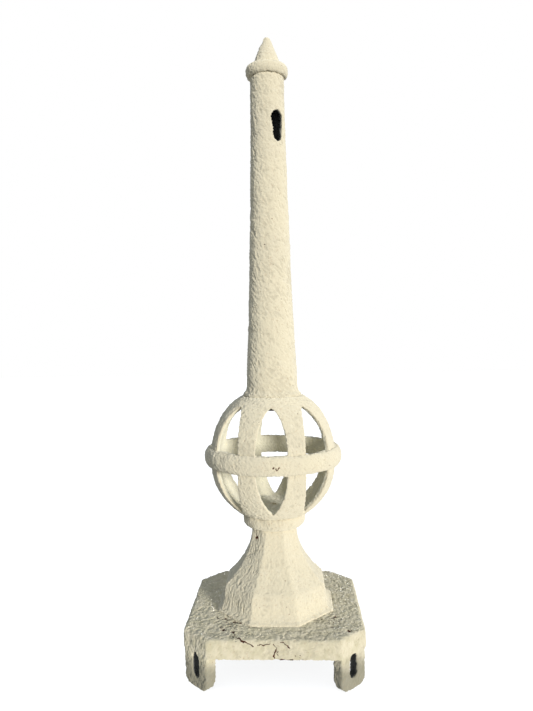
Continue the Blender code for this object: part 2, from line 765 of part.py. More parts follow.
def make_washer(name, top, parts, material):
    hole = M12_RADIUS + GAP
    bottom = top - M12_WASHER_THICKNESS
    profile = [(hole, top), (M12_WASHER_RADIUS, top), (M12_WASHER_RADIUS, bottom), (hole, bottom)]
    return settle(turned(name, profile, BOLT_STEPS, parts), material)


def make_lower_cage_nut(parts, cutters, material):
    top = level(NECK_HEIGHT - PEDESTAL_DECK) - M12_WASHER_THICKNESS - 2 * GAP
    bottom = top - M12_NUT_HEIGHT
    nut = turned(
        "lower_cage_nut",
        [(0, top), (M12_HEX_RADIUS, top), (M12_HEX_RADIUS, bottom), (0, bottom)],
        HEXAGON, parts, closed=False,
    )
    hole = M12_RADIUS + GAP
    bore = turned(
        "nut_bore",
        [(0, top + REACH), (hole, top + REACH), (hole, bottom - REACH), (0, bottom - REACH)],
        BOLT_STEPS, cutters, closed=False,
    )
    combine(nut, [bore], "DIFFERENCE")
    return settle(nut, material, smooth=False)


def make_spire_bolt(parts, cutters, material):
    seat = level(CROWN_HEIGHT) - BALL_DECK - M12_WASHER_THICKNESS - 2 * GAP
    end = level(CROWN_HEIGHT) + GAP + SPIGOT_HEIGHT + SPIRE_BRIDGE - REACH
    head_low = seat - M12_HEX_HEIGHT
    bolt = turned(
        "spire_bolt",
        [(0, end), (M12_RADIUS, end), (M12_RADIUS, seat - REACH), (0, seat - REACH)],
        BOLT_STEPS, parts, closed=False,
    )
    head = turned(
        "spire_bolt_head",
        [(0, seat), (M12_HEX_RADIUS, seat), (M12_HEX_RADIUS, head_low), (0, head_low)],
        HEXAGON, cutters, closed=False,
    )
    combine(bolt, [head], "UNION")
    return settle(bolt, material)


def make_obelisk():
    clear_scene()
    parts = make_collection("garden_obelisk")
    cutters = make_collection("cutters")
    cream = make_material("cream_paint", CREAM, 0.55, 0.0)
    iron = make_material("bare_iron", IRON, 0.75, 0.6)

    make_base_plate(parts, cutters, cream)
    make_pedestal(parts, cutters, cream)
    make_pedestal_screws(parts, iron)
    make_neck_collar(parts, cream)
    make_lower_cage(parts, cutters, cream)
    make_lower_cage_bolt(parts, cream)
    make_washer("lower_cage_washer", level(NECK_HEIGHT - PEDESTAL_DECK) - GAP, parts, iron)
    make_lower_cage_nut(parts, cutters, iron)
    make_equator_ring(parts, cutters, cream)
    make_ring_screws(parts, cream)
    make_upper_cage(parts, cutters, cream)
    make_washer("spire_washer", level(CROWN_HEIGHT) - BALL_DECK - GAP, parts, iron)
    make_spire_bolt(parts, cutters, iron)
    make_shaft(parts, cutters, cream)
    make_cap_ring(parts, cutters, cream)
    make_tip(parts, cutters, cream)
    make_cap_pin(parts, cream)

    for cutter in cutters.objects:
        cutter.hide_render = True
        cutter.display_type = "WIRE"


make_obelisk()
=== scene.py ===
"""Looks of a cast-iron garden obelisk under many coats of old cream paint.

Every casting is modelled again over its CAD node, inside the whole CAD model's
box, with the soft edges and the wrinkled skin that thick paint gives it. Paint
runs over the joints between castings. Metres, +Z up, -Y is the front.
"""
import itertools
import json
import math

import bmesh
import bpy
import numpy as np
from mathutils import Matrix, Vector

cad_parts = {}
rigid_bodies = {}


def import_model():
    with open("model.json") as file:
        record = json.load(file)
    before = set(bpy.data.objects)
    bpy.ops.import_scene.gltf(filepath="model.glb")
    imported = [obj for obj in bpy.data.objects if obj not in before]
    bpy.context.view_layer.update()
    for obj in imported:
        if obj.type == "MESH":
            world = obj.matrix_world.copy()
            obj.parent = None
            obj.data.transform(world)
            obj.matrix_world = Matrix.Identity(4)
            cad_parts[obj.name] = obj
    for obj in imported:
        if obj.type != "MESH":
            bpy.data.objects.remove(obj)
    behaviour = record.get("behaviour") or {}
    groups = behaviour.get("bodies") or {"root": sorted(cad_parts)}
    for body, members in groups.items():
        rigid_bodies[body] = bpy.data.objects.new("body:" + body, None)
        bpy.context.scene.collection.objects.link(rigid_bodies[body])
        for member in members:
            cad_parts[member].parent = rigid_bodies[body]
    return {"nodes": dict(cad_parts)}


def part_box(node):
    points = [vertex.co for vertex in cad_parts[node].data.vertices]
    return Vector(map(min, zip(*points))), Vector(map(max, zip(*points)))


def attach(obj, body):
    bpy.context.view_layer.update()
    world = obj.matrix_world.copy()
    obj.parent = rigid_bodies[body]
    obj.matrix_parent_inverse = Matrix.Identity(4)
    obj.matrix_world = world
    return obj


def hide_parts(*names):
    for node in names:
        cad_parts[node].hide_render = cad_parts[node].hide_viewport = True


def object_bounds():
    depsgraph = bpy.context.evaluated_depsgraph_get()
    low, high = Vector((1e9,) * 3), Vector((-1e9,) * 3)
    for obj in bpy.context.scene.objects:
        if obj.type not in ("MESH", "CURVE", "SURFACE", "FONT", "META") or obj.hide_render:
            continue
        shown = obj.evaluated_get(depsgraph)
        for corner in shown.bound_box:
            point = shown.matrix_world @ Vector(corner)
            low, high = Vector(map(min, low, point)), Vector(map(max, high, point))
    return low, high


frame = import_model()
CAD_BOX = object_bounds()


def low(node):
    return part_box(node)[0]


def high(node):
    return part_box(node)[1]


GAP = 0.0003                # clearance between two castings
WELD = 0.00001
REACH = 0.002               # how far a cutter runs past the face it cuts
FRONT = math.radians(-90)

# Levels and radii that the frame gives
GROUND = low("base_plate").z
PLATE_TOP = high("base_plate").z
PLATE_HALF = high("base_plate").x
PEDESTAL_TOP = high("pedestal").z
COLLAR_RADIUS = high("neck_collar").x
RING_RADIUS = high("equator_ring").x
SEAM = (low("equator_ring").z + high("equator_ring").z) / 2
RING_HALF_HEIGHT = high("equator_ring").z - SEAM
BALL_RADIUS = high("upper_cage").x
CROWN = low("shaft").z - GAP
SPIRE_TOP = high("shaft").z
SPIRE_FOOT_RADIUS = high("shaft").x
CAP_RADIUS = high("cap_ring").x
CAP_TOP = high("cap_ring").z
TIP_TOP = high("tip").z

# Post cap
CORNER_CUT = 0.034
SKIRT_HEIGHT = 0.0244
SKIRT_WALL = 0.0065
WEB_THICKNESS = 0.007
RIM_ROUNDING = 0.0045
ACCESS_HOLE_RADIUS = 0.036
LUG_WIDTH = 0.0455
LUG_DEPTH = 0.016
LUG_WALL = 0.005
LUG_FLANGE = 0.0135
LUG_FOOT_WIDTH = 0.029
LUG_FOOT_HEIGHT = 0.006
LUG_POCKET_FLOOR = 0.0125
LUG_HEEL_DEPTH = 0.008
LUG_HEEL_HEIGHT = 0.012
SLOT_WIDTH = 0.013
SLOT_LOW = 0.013
SLOT_HIGH = 0.043

# Pedestal: octagonal, corner radii, heights above the plate
FOOT_RADIUS = 0.0835
FOOT_LIP = 0.002
PLINTH_RADIUS = 0.0743
PLINTH_LOW = 0.0175
SHOULDER_RADIUS = 0.0717
SHOULDER_HEIGHT = 0.034
NECK_RADIUS = 0.0324
SWEEP_POWER = 2.15
PEDESTAL_WALL = 0.0065
PEDESTAL_DECK = 0.008
FLANGE_BORE = 0.052
FLANGE_HEIGHT = 0.014
OCTAGON = 8

# Neck collar
COLLAR_HEIGHT = 0.017
COLLAR_EDGE = 0.0017
COLLAR_FLARE = 0.0095
SPIGOT_HEIGHT = 0.003
LOWER_SPIGOT_RADIUS = 0.015
UPPER_SPIGOT_RADIUS = 0.024
BOLT_HOLE_RADIUS = 0.0063

# Openwork ball
BALL_WALL = 0.0064
BALL_DECK = 0.010
DOME_OFFSET = 0.0059
RIBS = 8
GAP_FOOT_HALF_WIDTH = 0.0206
GAP_FOOT_RISE = 0.0125
GAP_APEX_RISE = 0.0695
# Bends of a gap's side, as shares of its foot's half width and its point's rise
UPPER_GAP_BENDS = ((0.95, 0.54), (0.60, 0.90))
LOWER_GAP_BENDS = ((0.93, 0.50), (0.52, 0.84))
BEAD_POWER = 0.8

# Spire, cap ring and tip; heights above the plate
SPIRE_TOP_RADIUS = 0.0229
SPIRE_NECK_RADIUS = 0.0345
SPIRE_NECK_RISE = 0.016
SPIRE_FOOT_LIP = 0.004
SPIRE_TAPER_POWER = 1.68
SPIRE_WALL = 0.0055
SPIRE_BRIDGE = 0.012
CORE_HOLE_AZIMUTH = math.radians(37)
CORE_HOLE_DROP = 0.048
CORE_HOLE_LENGTH = 0.041
CORE_HOLE_TOP_WIDTH = 0.017
CORE_HOLE_FOOT_WIDTH = 0.0125
RAGGED_EDGE = 0.0013        # how far the opening's ragged side strays
RAGGED_SEED = 4
CAP_SHELF_RADIUS = 0.0185
CAP_SPIGOT_LENGTH = 0.014
TIP_RADIUS = 0.0192
TIP_SLOPE = math.radians(20)
TIP_END_RADIUS = 0.0058
TIP_SPIGOT_RADIUS = 0.009
TIP_SPIGOT_LENGTH = 0.034

# Paint skin: wavelength and height of each layer of relief
SWELL = (0.045, 0.00015)
LUMPS = (0.012, 0.00010)
WRINKLES = (0.0048, 0.00024)
CRINKLES = (0.0034, 0.00018)
DRIFT = 0.3                 # how far wrinkles wander, as a share of their wavelength
PLATE_INSET = 0.0006        # the plate's mean skin lies this far inside the CAD box
CHIP_DEPTH = 0.0005
SEAM_FILL = 0.0010          # how far paint runs over the joint between two castings
SMOOTH_SIDE = (0.574, -0.819, 0.0)  # the way that the castings' smoother side faces
GRADIENTS = 4096
CELL_HASH = (73856093, 19349663, 83492791)


# ---- noise ----------------------------------------------------------------

def smooth_noise(points, wavelength, seed):
    """Gradient noise of unit spread at each point, with bumps one wavelength apart."""
    rng = np.random.default_rng(seed)
    spots = points / wavelength + rng.uniform(0, 100, 3)
    gradients = rng.normal(size=(GRADIENTS, 3))
    cell = np.floor(spots).astype(np.int64)
    inside = spots - cell
    fade = inside ** 3 * (inside * (inside * 6 - 15) + 10)
    total = np.zeros(len(points))
    for corner in itertools.product((0, 1), repeat=3):
        key = (cell + corner) @ np.array(CELL_HASH)
        gradient = gradients[(key ^ (key >> 15)) % GRADIENTS]
        weight = np.prod(np.where(corner, fade, 1 - fade), axis=1)
        total += weight * ((inside - corner) * gradient).sum(axis=1)
    return total / total.std()


def wrinkled_skin(points, twist, stretch, seed):
    """Height of the paint's relief; twist turns its grain off the upright, stretch draws it out."""
    turn = twist * points[:, 2]
    x = points[:, 0] * np.cos(turn) - points[:, 1] * np.sin(turn)
    y = points[:, 0] * np.sin(turn) + points[:, 1] * np.cos(turn)
    spots = np.stack((x, y, points[:, 2] / stretch), axis=1)
    drift = np.stack([smooth_noise(spots, LUMPS[0], seed + i) for i in range(3)], axis=1)
    warped = spots + drift * DRIFT * WRINKLES[0]
    ridges = 1 - np.abs(smooth_noise(warped, WRINKLES[0], seed + 3))
    ridges = ridges / ridges.std()
    return (
        SWELL[1] * smooth_noise(spots, SWELL[0], seed + 4)
        + LUMPS[1] * smooth_noise(spots, LUMPS[0], seed + 5)
        + WRINKLES[1] * (ridges - ridges.mean())
        + CRINKLES[1] * smooth_noise(warped, CRINKLES[0], seed + 6)
    )


# ---- shapes ---------------------------------------------------------------

def add_object(name, mesh):
    item = bpy.data.objects.new(name, mesh)
    bpy.context.scene.collection.objects.link(item)
    return item


def apply_modifiers(item):
    bpy.context.view_layer.update()
    evaluated = item.evaluated_get(bpy.context.evaluated_depsgraph_get())
    mesh = bpy.data.meshes.new_from_object(evaluated)
    item.modifiers.clear()
    item.data = mesh
    item.data.name = item.name


def turned(name, profile, steps, closed=True):
    """Solid turned round Z from (radius, height) points, outer side downwards."""
    mesh = bpy.data.meshes.new(name)
    edges = [(i, i + 1) for i in range(len(profile) - 1)]
    if closed:
        edges.append((len(profile) - 1, 0))
    mesh.from_pydata([(radius, 0.0, height) for radius, height in profile], edges, [])
    item = add_object(name, mesh)
    screw = item.modifiers.new("Turn", "SCREW")
    screw.angle = math.tau
    screw.steps = steps
    screw.render_steps = steps
    screw.use_merge_vertices = True
    screw.merge_threshold = WELD
    apply_modifiers(item)
    return item


def outline_solid(name, points, thickness, matrix):
    """Flat outline with the given thickness; its X, Y and Z go where matrix says."""
    shape = bmesh.new()
    corners = [shape.verts.new((x, y, -thickness / 2)) for x, y in points]
    face = shape.faces.new(corners)
    grown = bmesh.ops.extrude_face_region(shape, geom=[face])["geom"]
    moved = [v for v in grown if isinstance(v, bmesh.types.BMVert)]
    bmesh.ops.translate(shape, verts=moved, vec=(0, 0, thickness))
    bmesh.ops.recalc_face_normals(shape, faces=shape.faces)
    mesh = bpy.data.meshes.new(name)
    shape.to_mesh(mesh)
    shape.free()
    mesh.transform(matrix)
    return add_object(name, mesh)


def block(name, size, center, matrix=Matrix.Identity(4)):
    shape = bmesh.new()
    place = matrix @ Matrix.Translation(center) @ Matrix.Diagonal((*size, 1.0))
    bmesh.ops.create_cube(shape, size=1.0, matrix=place)
    mesh = bpy.data.meshes.new(name)
    shape.to_mesh(mesh)
    shape.free()
    return add_object(name, mesh)


def cut_corner_tray(name, half, bottom, top, corner_cut, rounding):
    """Square block with its upright edges cut off and its top edges rounded."""
    item = block(name, (2 * half, 2 * half, top - bottom), (0, 0, (bottom + top) / 2))
    shape = bmesh.new()
    shape.from_mesh(item.data)
    upright = [e for e in shape.edges if abs(e.verts[0].co.z - e.verts[1].co.z) > WELD]
    bmesh.ops.bevel(shape, geom=upright, offset=corner_cut, segments=1, affect="EDGES")
    if rounding:
        rim = [e for e in shape.edges if min(v.co.z for v in e.verts) > top - WELD]
        bmesh.ops.bevel(shape, geom=rim, offset=rounding, segments=6, profile=0.5, affect="EDGES")
    shape.to_mesh(item.data)
    shape.free()
    return item


def face_outwards(radius, height, azimuth):
    """Matrix for an outline: X runs round the axis, Y goes up, Z points outwards."""
    turn = Matrix.Rotation(azimuth + math.radians(90), 4, "Z")
    stand = Matrix.Rotation(math.radians(90), 4, "X")
    return turn @ Matrix.Translation((0, -radius, height)) @ stand


def cut(item, cutters):
    """Take the cutters out of the solid, and remove them."""
    for cutter in cutters:
        boolean = item.modifiers.new("Cut", "BOOLEAN")
        boolean.object = cutter
        boolean.operation = "DIFFERENCE"
        boolean.solver = "MANIFOLD"
    apply_modifiers(item)
    for cutter in cutters:
        bpy.data.objects.remove(cutter)


def gather(item, others):
    """Put the others' faces into the first solid; casting makes them one body."""
    shape = bmesh.new()
    for other in [item, *others]:
        shape.from_mesh(other.data)
    shape.to_mesh(item.data)
    shape.free()
    for other in others:
        bpy.data.objects.remove(other)


def cast(item, voxel, rounds):
    """Make one body of the solid, with the soft edges of a painted casting."""
    remesh = item.modifiers.new("Cast", "REMESH")
    remesh.mode = "VOXEL"
    remesh.voxel_size = voxel
    soften = item.modifiers.new("Soften", "SMOOTH")
    soften.factor = 0.5
    soften.iterations = rounds
    apply_modifiers(item)


def arc(radius, center_height, start, end, count):
    """(radius, height) points on a circle about the axis, angles from the equator."""
    angles = np.linspace(start, end, count)
    return [(radius * math.cos(a), center_height + radius * math.sin(a)) for a in angles]


def bead(inner_top, inner_low, outer, middle, half, count):
    """Points down the outside of a fat ring; its hollow side has two radii."""
    points = []
    for a in np.linspace(math.radians(90), math.radians(-90), count):
        inner = inner_top if a > 0 else inner_low
        swell = max(math.cos(a), 0) ** BEAD_POWER
        points.append((inner + (outer - inner) * swell, middle + half * math.sin(a)))
    return points


# ---- paint ----------------------------------------------------------------

def read_vectors(collection, name):
    values = np.empty(len(collection) * 3, np.float32)
    collection.foreach_get(name, values)
    return values.reshape(-1, 3).astype(float)


def write_values(mesh, name, values):
    attribute = mesh.attributes.new(name, "FLOAT", "POINT")
    attribute.data.foreach_set("value", values.astype(np.float32))


def place_in_box(node, shares):
    """Point at these shares of the CAD node's box along X, Y and Z."""
    lo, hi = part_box(node)
    return np.array([a + (b - a) * share for a, b, share in zip(lo, hi, shares)])


def spots_on(points, node, table):
    """How much each point belongs to the spots that the table lists for this node."""
    covered = np.zeros(len(points))
    for name, shares, radius in table:
        if name == node:
            distance = np.linalg.norm(points - place_in_box(node, shares), axis=1)
            covered = np.maximum(covered, 1 - distance / radius)
    return covered


# The marks' places come from the photo: many were picked there and projected onto the object
# by a scratch script, and others were judged by eye.
# Where the paint has chipped down to the iron: node, shares of its box, radius
CHIPS = [
    ("equator_ring", (0.515, 0.0, 0.47), 0.0023),
    ("equator_ring", (0.535, 0.0, 0.40), 0.0025),
    ("equator_ring", (0.550, 0.0, 0.47), 0.0022),
    ("equator_ring", (0.900, 0.13, 0.55), 0.0023),
    ("base_plate", (0.363, 0.206, 1.0), 0.0046),
    ("base_plate", (0.282, 0.110, 1.0), 0.0032),
    ("base_plate", (0.224, 0.136, 1.0), 0.0041),
    ("base_plate", (0.204, 0.168, 1.0), 0.0029),
    ("base_plate", (0.275, 0.225, 1.0), 0.0032),
    ("base_plate", (0.225, 0.267, 1.0), 0.0032),
    ("base_plate", (0.840, 0.291, 1.0), 0.0035),
    ("base_plate", (0.818, 0.169, 1.0), 0.0029),
    ("base_plate", (0.765, 0.260, 1.0), 0.0023),
    ("base_plate", (0.905, 0.120, 1.0), 0.0043),
    ("base_plate", (0.990, 0.158, 0.59), 0.0038),
    ("base_plate", (0.870, 0.030, 0.62), 0.0026),
    ("pedestal", (0.680, 0.0, 0.23), 0.0017),
    ("pedestal", (0.676, 0.0, 0.15), 0.0017),
    ("pedestal", (0.800, 0.05, 0.15), 0.0020),
    ("pedestal", (0.345, 0.369, 0.877), 0.0042),
    ("upper_cage", (0.300, 0.06, 0.37), 0.0020),
]
# Where the paint is lumpy: node, shares of its box, radius, height
BLISTERS = [
    ("base_plate", (0.870, 0.135, 1.0), 0.0075, 0.0016),
    ("base_plate", (0.300, 0.190, 1.0), 0.0060, 0.0009),
    ("base_plate", (0.240, 0.240, 1.0), 0.0055, 0.0008),
    ("lower_cage", (0.601, 0.015, 0.756), 0.0080, 0.0026),
    ("lower_cage", (0.583, 0.022, 0.630), 0.0070, 0.0020),
    ("lower_cage", (0.558, 0.037, 0.517), 0.0060, 0.0018),
    ("shaft", (0.04, 0.35, 0.014), 0.0060, 0.0014),
]
# Where the paint is specked with rust: node, shares of its box, radius
SPECKED = [
    ("base_plate", (0.27, 0.16, 1.0), 0.026),
    ("base_plate", (0.82, 0.22, 1.0), 0.030),
    ("base_plate", (0.62, 0.0, 0.66), 0.012),
    ("pedestal", (0.75, 0.0, 0.15), 0.016),
]
# Cracks in the paint of the post cap's front, as shares of its box
CRACKS = [
    [(0.273, 0.061, 0.994), (0.311, 0.040, 0.994), (0.341, 0.006, 0.98)],
    [(0.341, 0.006, 0.98), (0.367, 0.0, 0.954), (0.396, 0.0, 0.897)],
    [(0.419, 0.0, 0.921), (0.458, 0.0, 0.921), (0.491, 0.0, 0.978), (0.504, 0.0, 0.910)],
    [(0.504, 0.0, 0.910), (0.517, 0.0, 0.864), (0.502, 0.0, 0.750), (0.506, 0.0, 0.680)],
    [(0.517, 0.0, 0.864), (0.523, 0.0, 0.740)],
    [(0.537, 0.0, 0.967), (0.556, 0.0, 0.956), (0.582, 0.0, 0.865)],
    [(0.522, 0.0, 0.650), (0.590, 0.0, 0.648), (0.650, 0.0, 0.645)],
    [(0.172, 0.276, 0.99), (0.197, 0.251, 0.99), (0.218, 0.268, 0.99), (0.238, 0.243, 0.99)],
    [(0.197, 0.159, 0.99), (0.219, 0.129, 0.99), (0.240, 0.131, 0.99)],
    [(0.229, 0.219, 0.99), (0.256, 0.195, 0.99), (0.297, 0.212, 0.99), (0.330, 0.219, 0.99)],
    [(0.343, 0.268, 0.99), (0.330, 0.219, 0.99), (0.373, 0.200, 0.99), (0.362, 0.160, 0.99)],
    [(0.271, 0.106, 0.99), (0.292, 0.079, 0.99), (0.302, 0.024, 0.98)],
]
CRACK_HALF_WIDTH = 0.0008
CRACK_WANDER = (0.006, 0.002, 0.006)
CRACK_REACH = (1.0, 0.35, 1.0)      # distance from a crack counts for less from front to back


def paint_over(item, node, twist=0.0, stretch=1.0, smooth=0.0, inset=0.0, raw=None):
    """Raise the wrinkled paint on a casting, and mark its chips, specks, raw and inner faces.

    twist and stretch shape the relief, smooth is the share of it that the smooth side loses,
    and inset sinks the whole skin.
    """
    mesh = item.data
    points = read_vectors(mesh.vertices, "co")
    normals = read_vectors(mesh.vertex_normals, "vector")
    seed = sum(node.encode())
    skin = wrinkled_skin(points, twist, stretch, seed)
    skin *= 1 - smooth * np.clip(normals @ np.array(SMOOTH_SIDE), 0, 1)
    chipped = spots_on(points, node, CHIPS)
    height = skin - inset - CHIP_DEPTH * np.clip(chipped * 2, 0, 1)
    for name, shares, radius, rise in BLISTERS:
        if name == node:
            height += rise * np.clip(spots_on(points, node, [(name, shares, radius)]), 0, 1)
    lo, hi = CAD_BOX
    moved = np.clip(points + normals * height[:, None], lo, hi)
    mesh.vertices.foreach_set("co", moved.astype(np.float32).ravel())
    write_values(mesh, "chipped", chipped)
    write_values(mesh, "specked", spots_on(points, node, SPECKED))
    write_values(mesh, "hollow", np.clip(-skin / WRINKLES[1], -2, 2))
    write_values(mesh, "raw", raw(points) if raw else np.zeros(len(points)))
    write_values(mesh, "inner", inside_ball(points))
    mesh.update()
    mesh.shade_smooth()
    mesh.materials.clear()
    mesh.materials.append(CRACKED_PAINT if node == "base_plate" else PAINT)
    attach(item, "root")
    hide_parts(node)


# ---- post cap -------------------------------------------------------------

def lug_face_distance():
    return (2 * PLATE_HALF - CORNER_CUT) / math.sqrt(2)


def slot_outline():
    """Upright slot with half-round ends."""
    half = SLOT_WIDTH / 2
    turn = np.linspace(0, math.pi, 13)
    top = [(half * math.cos(a), SLOT_HIGH - half + half * math.sin(a)) for a in turn]
    foot = [(-half * math.cos(a), SLOT_LOW + half - half * math.sin(a)) for a in turn]
    return top + foot


def make_lug(index):
    azimuth = math.radians(45 + 90 * index)
    face = lug_face_distance()
    half = LUG_WIDTH / 2
    foot = LUG_FOOT_WIDTH / 2
    top = PLATE_TOP - WEB_THICKNESS / 2
    right = [(foot, 0), (half, LUG_FOOT_HEIGHT), (half, top)]
    outline = [(-x, y) for x, y in reversed(right)] + right
    lug = outline_solid("lug", outline, LUG_DEPTH, face_outwards(face - LUG_DEPTH / 2, 0, azimuth))
    turn = Matrix.Rotation(azimuth, 4, "Z")
    inner = face - LUG_DEPTH
    pocket_depth = LUG_DEPTH - LUG_WALL + REACH
    pocket_height = PLATE_TOP - WEB_THICKNESS - LUG_POCKET_FLOOR
    pocket = block(
        "pocket",
        (pocket_depth, LUG_WIDTH - 2 * LUG_FLANGE, pocket_height),
        (inner - REACH + pocket_depth / 2, 0, LUG_POCKET_FLOOR + pocket_height / 2),
        turn,
    )
    heel_outline = [
        (inner - REACH, -REACH),
        (inner + LUG_HEEL_DEPTH, -REACH),
        (inner + LUG_HEEL_DEPTH, 0),
        (inner, LUG_HEEL_HEIGHT),
        (inner - REACH, LUG_HEEL_HEIGHT),
    ]
    stand = Matrix.Rotation(math.radians(90), 4, "X")
    heel = outline_solid("heel", heel_outline, LUG_WIDTH + 2 * REACH, turn @ stand)
    slot = outline_solid("slot", slot_outline(), 2 * LUG_DEPTH, face_outwards(face, 0, azimuth))
    cut(lug, [pocket, heel, slot])
    return lug


def under_plate(points):
    """1 on the raw iron that faces the post, 0 on the painted outside."""
    x, y, z = np.abs(points[:, 0]), np.abs(points[:, 1]), points[:, 2]
    outwards = (x + y) / math.sqrt(2)
    sideways = np.abs(x - y) / math.sqrt(2)
    under_web = (np.maximum(x, y) < PLATE_HALF - SKIRT_WALL / 2) & (z < PLATE_TOP - WEB_THICKNESS / 2)
    behind_lug = (outwards < lug_face_distance() - LUG_WALL / 2) & (sideways < LUG_WIDTH / 2 - LUG_FLANGE / 2)
    between_lugs = (outwards < lug_face_distance() - LUG_DEPTH) & (z > PLATE_TOP - SKIRT_HEIGHT + REACH)
    return (under_web & (behind_lug | between_lugs)).astype(float)


def make_base_plate():
    skirt_bottom = PLATE_TOP - SKIRT_HEIGHT
    web_bottom = PLATE_TOP - WEB_THICKNESS
    plate = cut_corner_tray("post_cap_painted", PLATE_HALF, skirt_bottom, PLATE_TOP, CORNER_CUT, RIM_ROUNDING)
    inner_cut = CORNER_CUT - SKIRT_WALL * (2 - math.sqrt(2))
    tray = cut_corner_tray("tray", PLATE_HALF - SKIRT_WALL, skirt_bottom - REACH, web_bottom, inner_cut, 0)
    hole_profile = [
        (0, PLATE_TOP + REACH),
        (ACCESS_HOLE_RADIUS, PLATE_TOP + REACH),
        (ACCESS_HOLE_RADIUS, web_bottom - REACH),
        (0, web_bottom - REACH),
    ]
    cut(plate, [tray, turned("hole", hole_profile, 96, closed=False)])
    gather(plate, [make_lug(i) for i in range(4)])
    cast(plate, voxel=0.0013, rounds=6)
    paint_over(plate, "base_plate", stretch=0.8, inset=PLATE_INSET, raw=under_plate)


# ---- pedestal -------------------------------------------------------------

def sweep_radius(height):
    """Corner radius of the pedestal's hollow sweep between shoulder and neck."""
    neck_height = PEDESTAL_TOP - PLATE_TOP
    share = (neck_height - height) / (neck_height - SHOULDER_HEIGHT)
    return NECK_RADIUS + (SHOULDER_RADIUS - NECK_RADIUS) * share ** SWEEP_POWER


def sweep(bottom, top, count, inset):
    return [(sweep_radius(h) - inset, PLATE_TOP + h) for h in np.linspace(top, bottom, count)]


def foot_fillet(count):
    """Hollow quarter curve from the plinth out to the foot's edge."""
    rise = PLINTH_LOW - FOOT_LIP
    spread = FOOT_RADIUS - PLINTH_RADIUS
    turn = np.linspace(0, math.radians(90), count)
    return [(FOOT_RADIUS - spread * math.cos(a), PLATE_TOP + PLINTH_LOW - rise * math.sin(a)) for a in turn]


def make_pedestal():
    neck_height = PEDESTAL_TOP - PLATE_TOP
    foot = PLATE_TOP + GAP
    inner_top = neck_height - PEDESTAL_DECK
    recess_floor = PEDESTAL_TOP - SPIGOT_HEIGHT - GAP
    hole = BOLT_HOLE_RADIUS / math.cos(math.pi / OCTAGON)
    recess = (LOWER_SPIGOT_RADIUS + GAP) / math.cos(math.pi / OCTAGON)
    profile = [(hole, recess_floor), (recess, recess_floor), (recess, PEDESTAL_TOP)]
    profile += sweep(SHOULDER_HEIGHT, neck_height, 40, 0.0)
    profile += foot_fillet(16)
    profile += [(FOOT_RADIUS + SEAM_FILL, foot), (FOOT_RADIUS + SEAM_FILL, foot - SEAM_FILL)]
    profile += [(FLANGE_BORE, foot - SEAM_FILL), (FLANGE_BORE, PLATE_TOP + FLANGE_HEIGHT)]
    profile += reversed(sweep(SHOULDER_HEIGHT, inner_top, 30, PEDESTAL_WALL))
    profile += [(hole, PLATE_TOP + inner_top)]
    pedestal = turned("pedestal_painted", profile, OCTAGON)
    pedestal.data.transform(Matrix.Rotation(math.radians(180 / OCTAGON), 4, "Z"))
    cast(pedestal, voxel=0.0013, rounds=9)
    paint_over(pedestal, "pedestal", stretch=1.5, smooth=0.65)


# ---- neck collar ----------------------------------------------------------

def make_neck_collar():
    bottom = PEDESTAL_TOP - SEAM_FILL
    top = PEDESTAL_TOP + COLLAR_HEIGHT
    spigot_top = top + SPIGOT_HEIGHT
    spigot_bottom = bottom - SPIGOT_HEIGHT
    profile = [
        (BOLT_HOLE_RADIUS, spigot_top),
        (UPPER_SPIGOT_RADIUS, spigot_top),
        (UPPER_SPIGOT_RADIUS, top),
        (COLLAR_RADIUS - COLLAR_EDGE, top),
        (COLLAR_RADIUS, top - COLLAR_EDGE),
    ]
    for a in np.linspace(0, math.radians(90), 12):
        radius = COLLAR_RADIUS - (COLLAR_RADIUS - NECK_RADIUS) * (1 - math.cos(a))
        profile.append((radius, bottom + COLLAR_FLARE * (1 - math.sin(a))))
    profile += [
        (LOWER_SPIGOT_RADIUS, bottom),
        (LOWER_SPIGOT_RADIUS, spigot_bottom),
        (BOLT_HOLE_RADIUS, spigot_bottom),
    ]
    collar = turned("neck_collar_painted", profile, 96)
    cast(collar, voxel=0.0012, rounds=4)
    paint_over(collar, "neck_collar", stretch=1.5, smooth=0.5)


# ---- openwork ball --------------------------------------------------------

def inside_ball(points):
    """1 inside the openwork ball, where a paler colour is painted in as light on the shaded paint, 0 on its
    outside.
    """
    upper = np.linalg.norm(points - np.array((0, 0, SEAM + DOME_OFFSET)), axis=1)
    lower = np.linalg.norm(points - np.array((0, 0, SEAM - DOME_OFFSET)), axis=1)
    reached = np.where(points[:, 2] > SEAM, upper, lower)
    return (reached < BALL_RADIUS - BALL_WALL / 2).astype(float)


def gap_outline(sign):
    """Lancet opening from the ring's edge to its point, up or down from the seam."""
    bends = UPPER_GAP_BENDS if sign > 0 else LOWER_GAP_BENDS
    corners = [(GAP_FOOT_HALF_WIDTH, GAP_FOOT_RISE)]
    corners += [(GAP_FOOT_HALF_WIDTH * x, GAP_APEX_RISE * y) for x, y in bends]
    corners.append((0.0, GAP_APEX_RISE))
    right = []
    for t in np.linspace(0, 1, 20):
        weights = ((1 - t) ** 3, 3 * (1 - t) ** 2 * t, 3 * (1 - t) * t * t, t ** 3)
        x = sum(w * c[0] for w, c in zip(weights, corners))
        y = sum(w * c[1] for w, c in zip(weights, corners))
        right.append((x, y * sign))
    return right + [(-x, y) for x, y in reversed(right[:-1])]


def cut_gaps(cage, sign):
    depth = 2 * RING_RADIUS / 3
    middle = BALL_RADIUS - BALL_WALL / 2
    places = [face_outwards(middle, SEAM, FRONT + math.tau * i / RIBS) for i in range(RIBS)]
    cut(cage, [outline_solid("gap", gap_outline(sign), depth, place) for place in places])


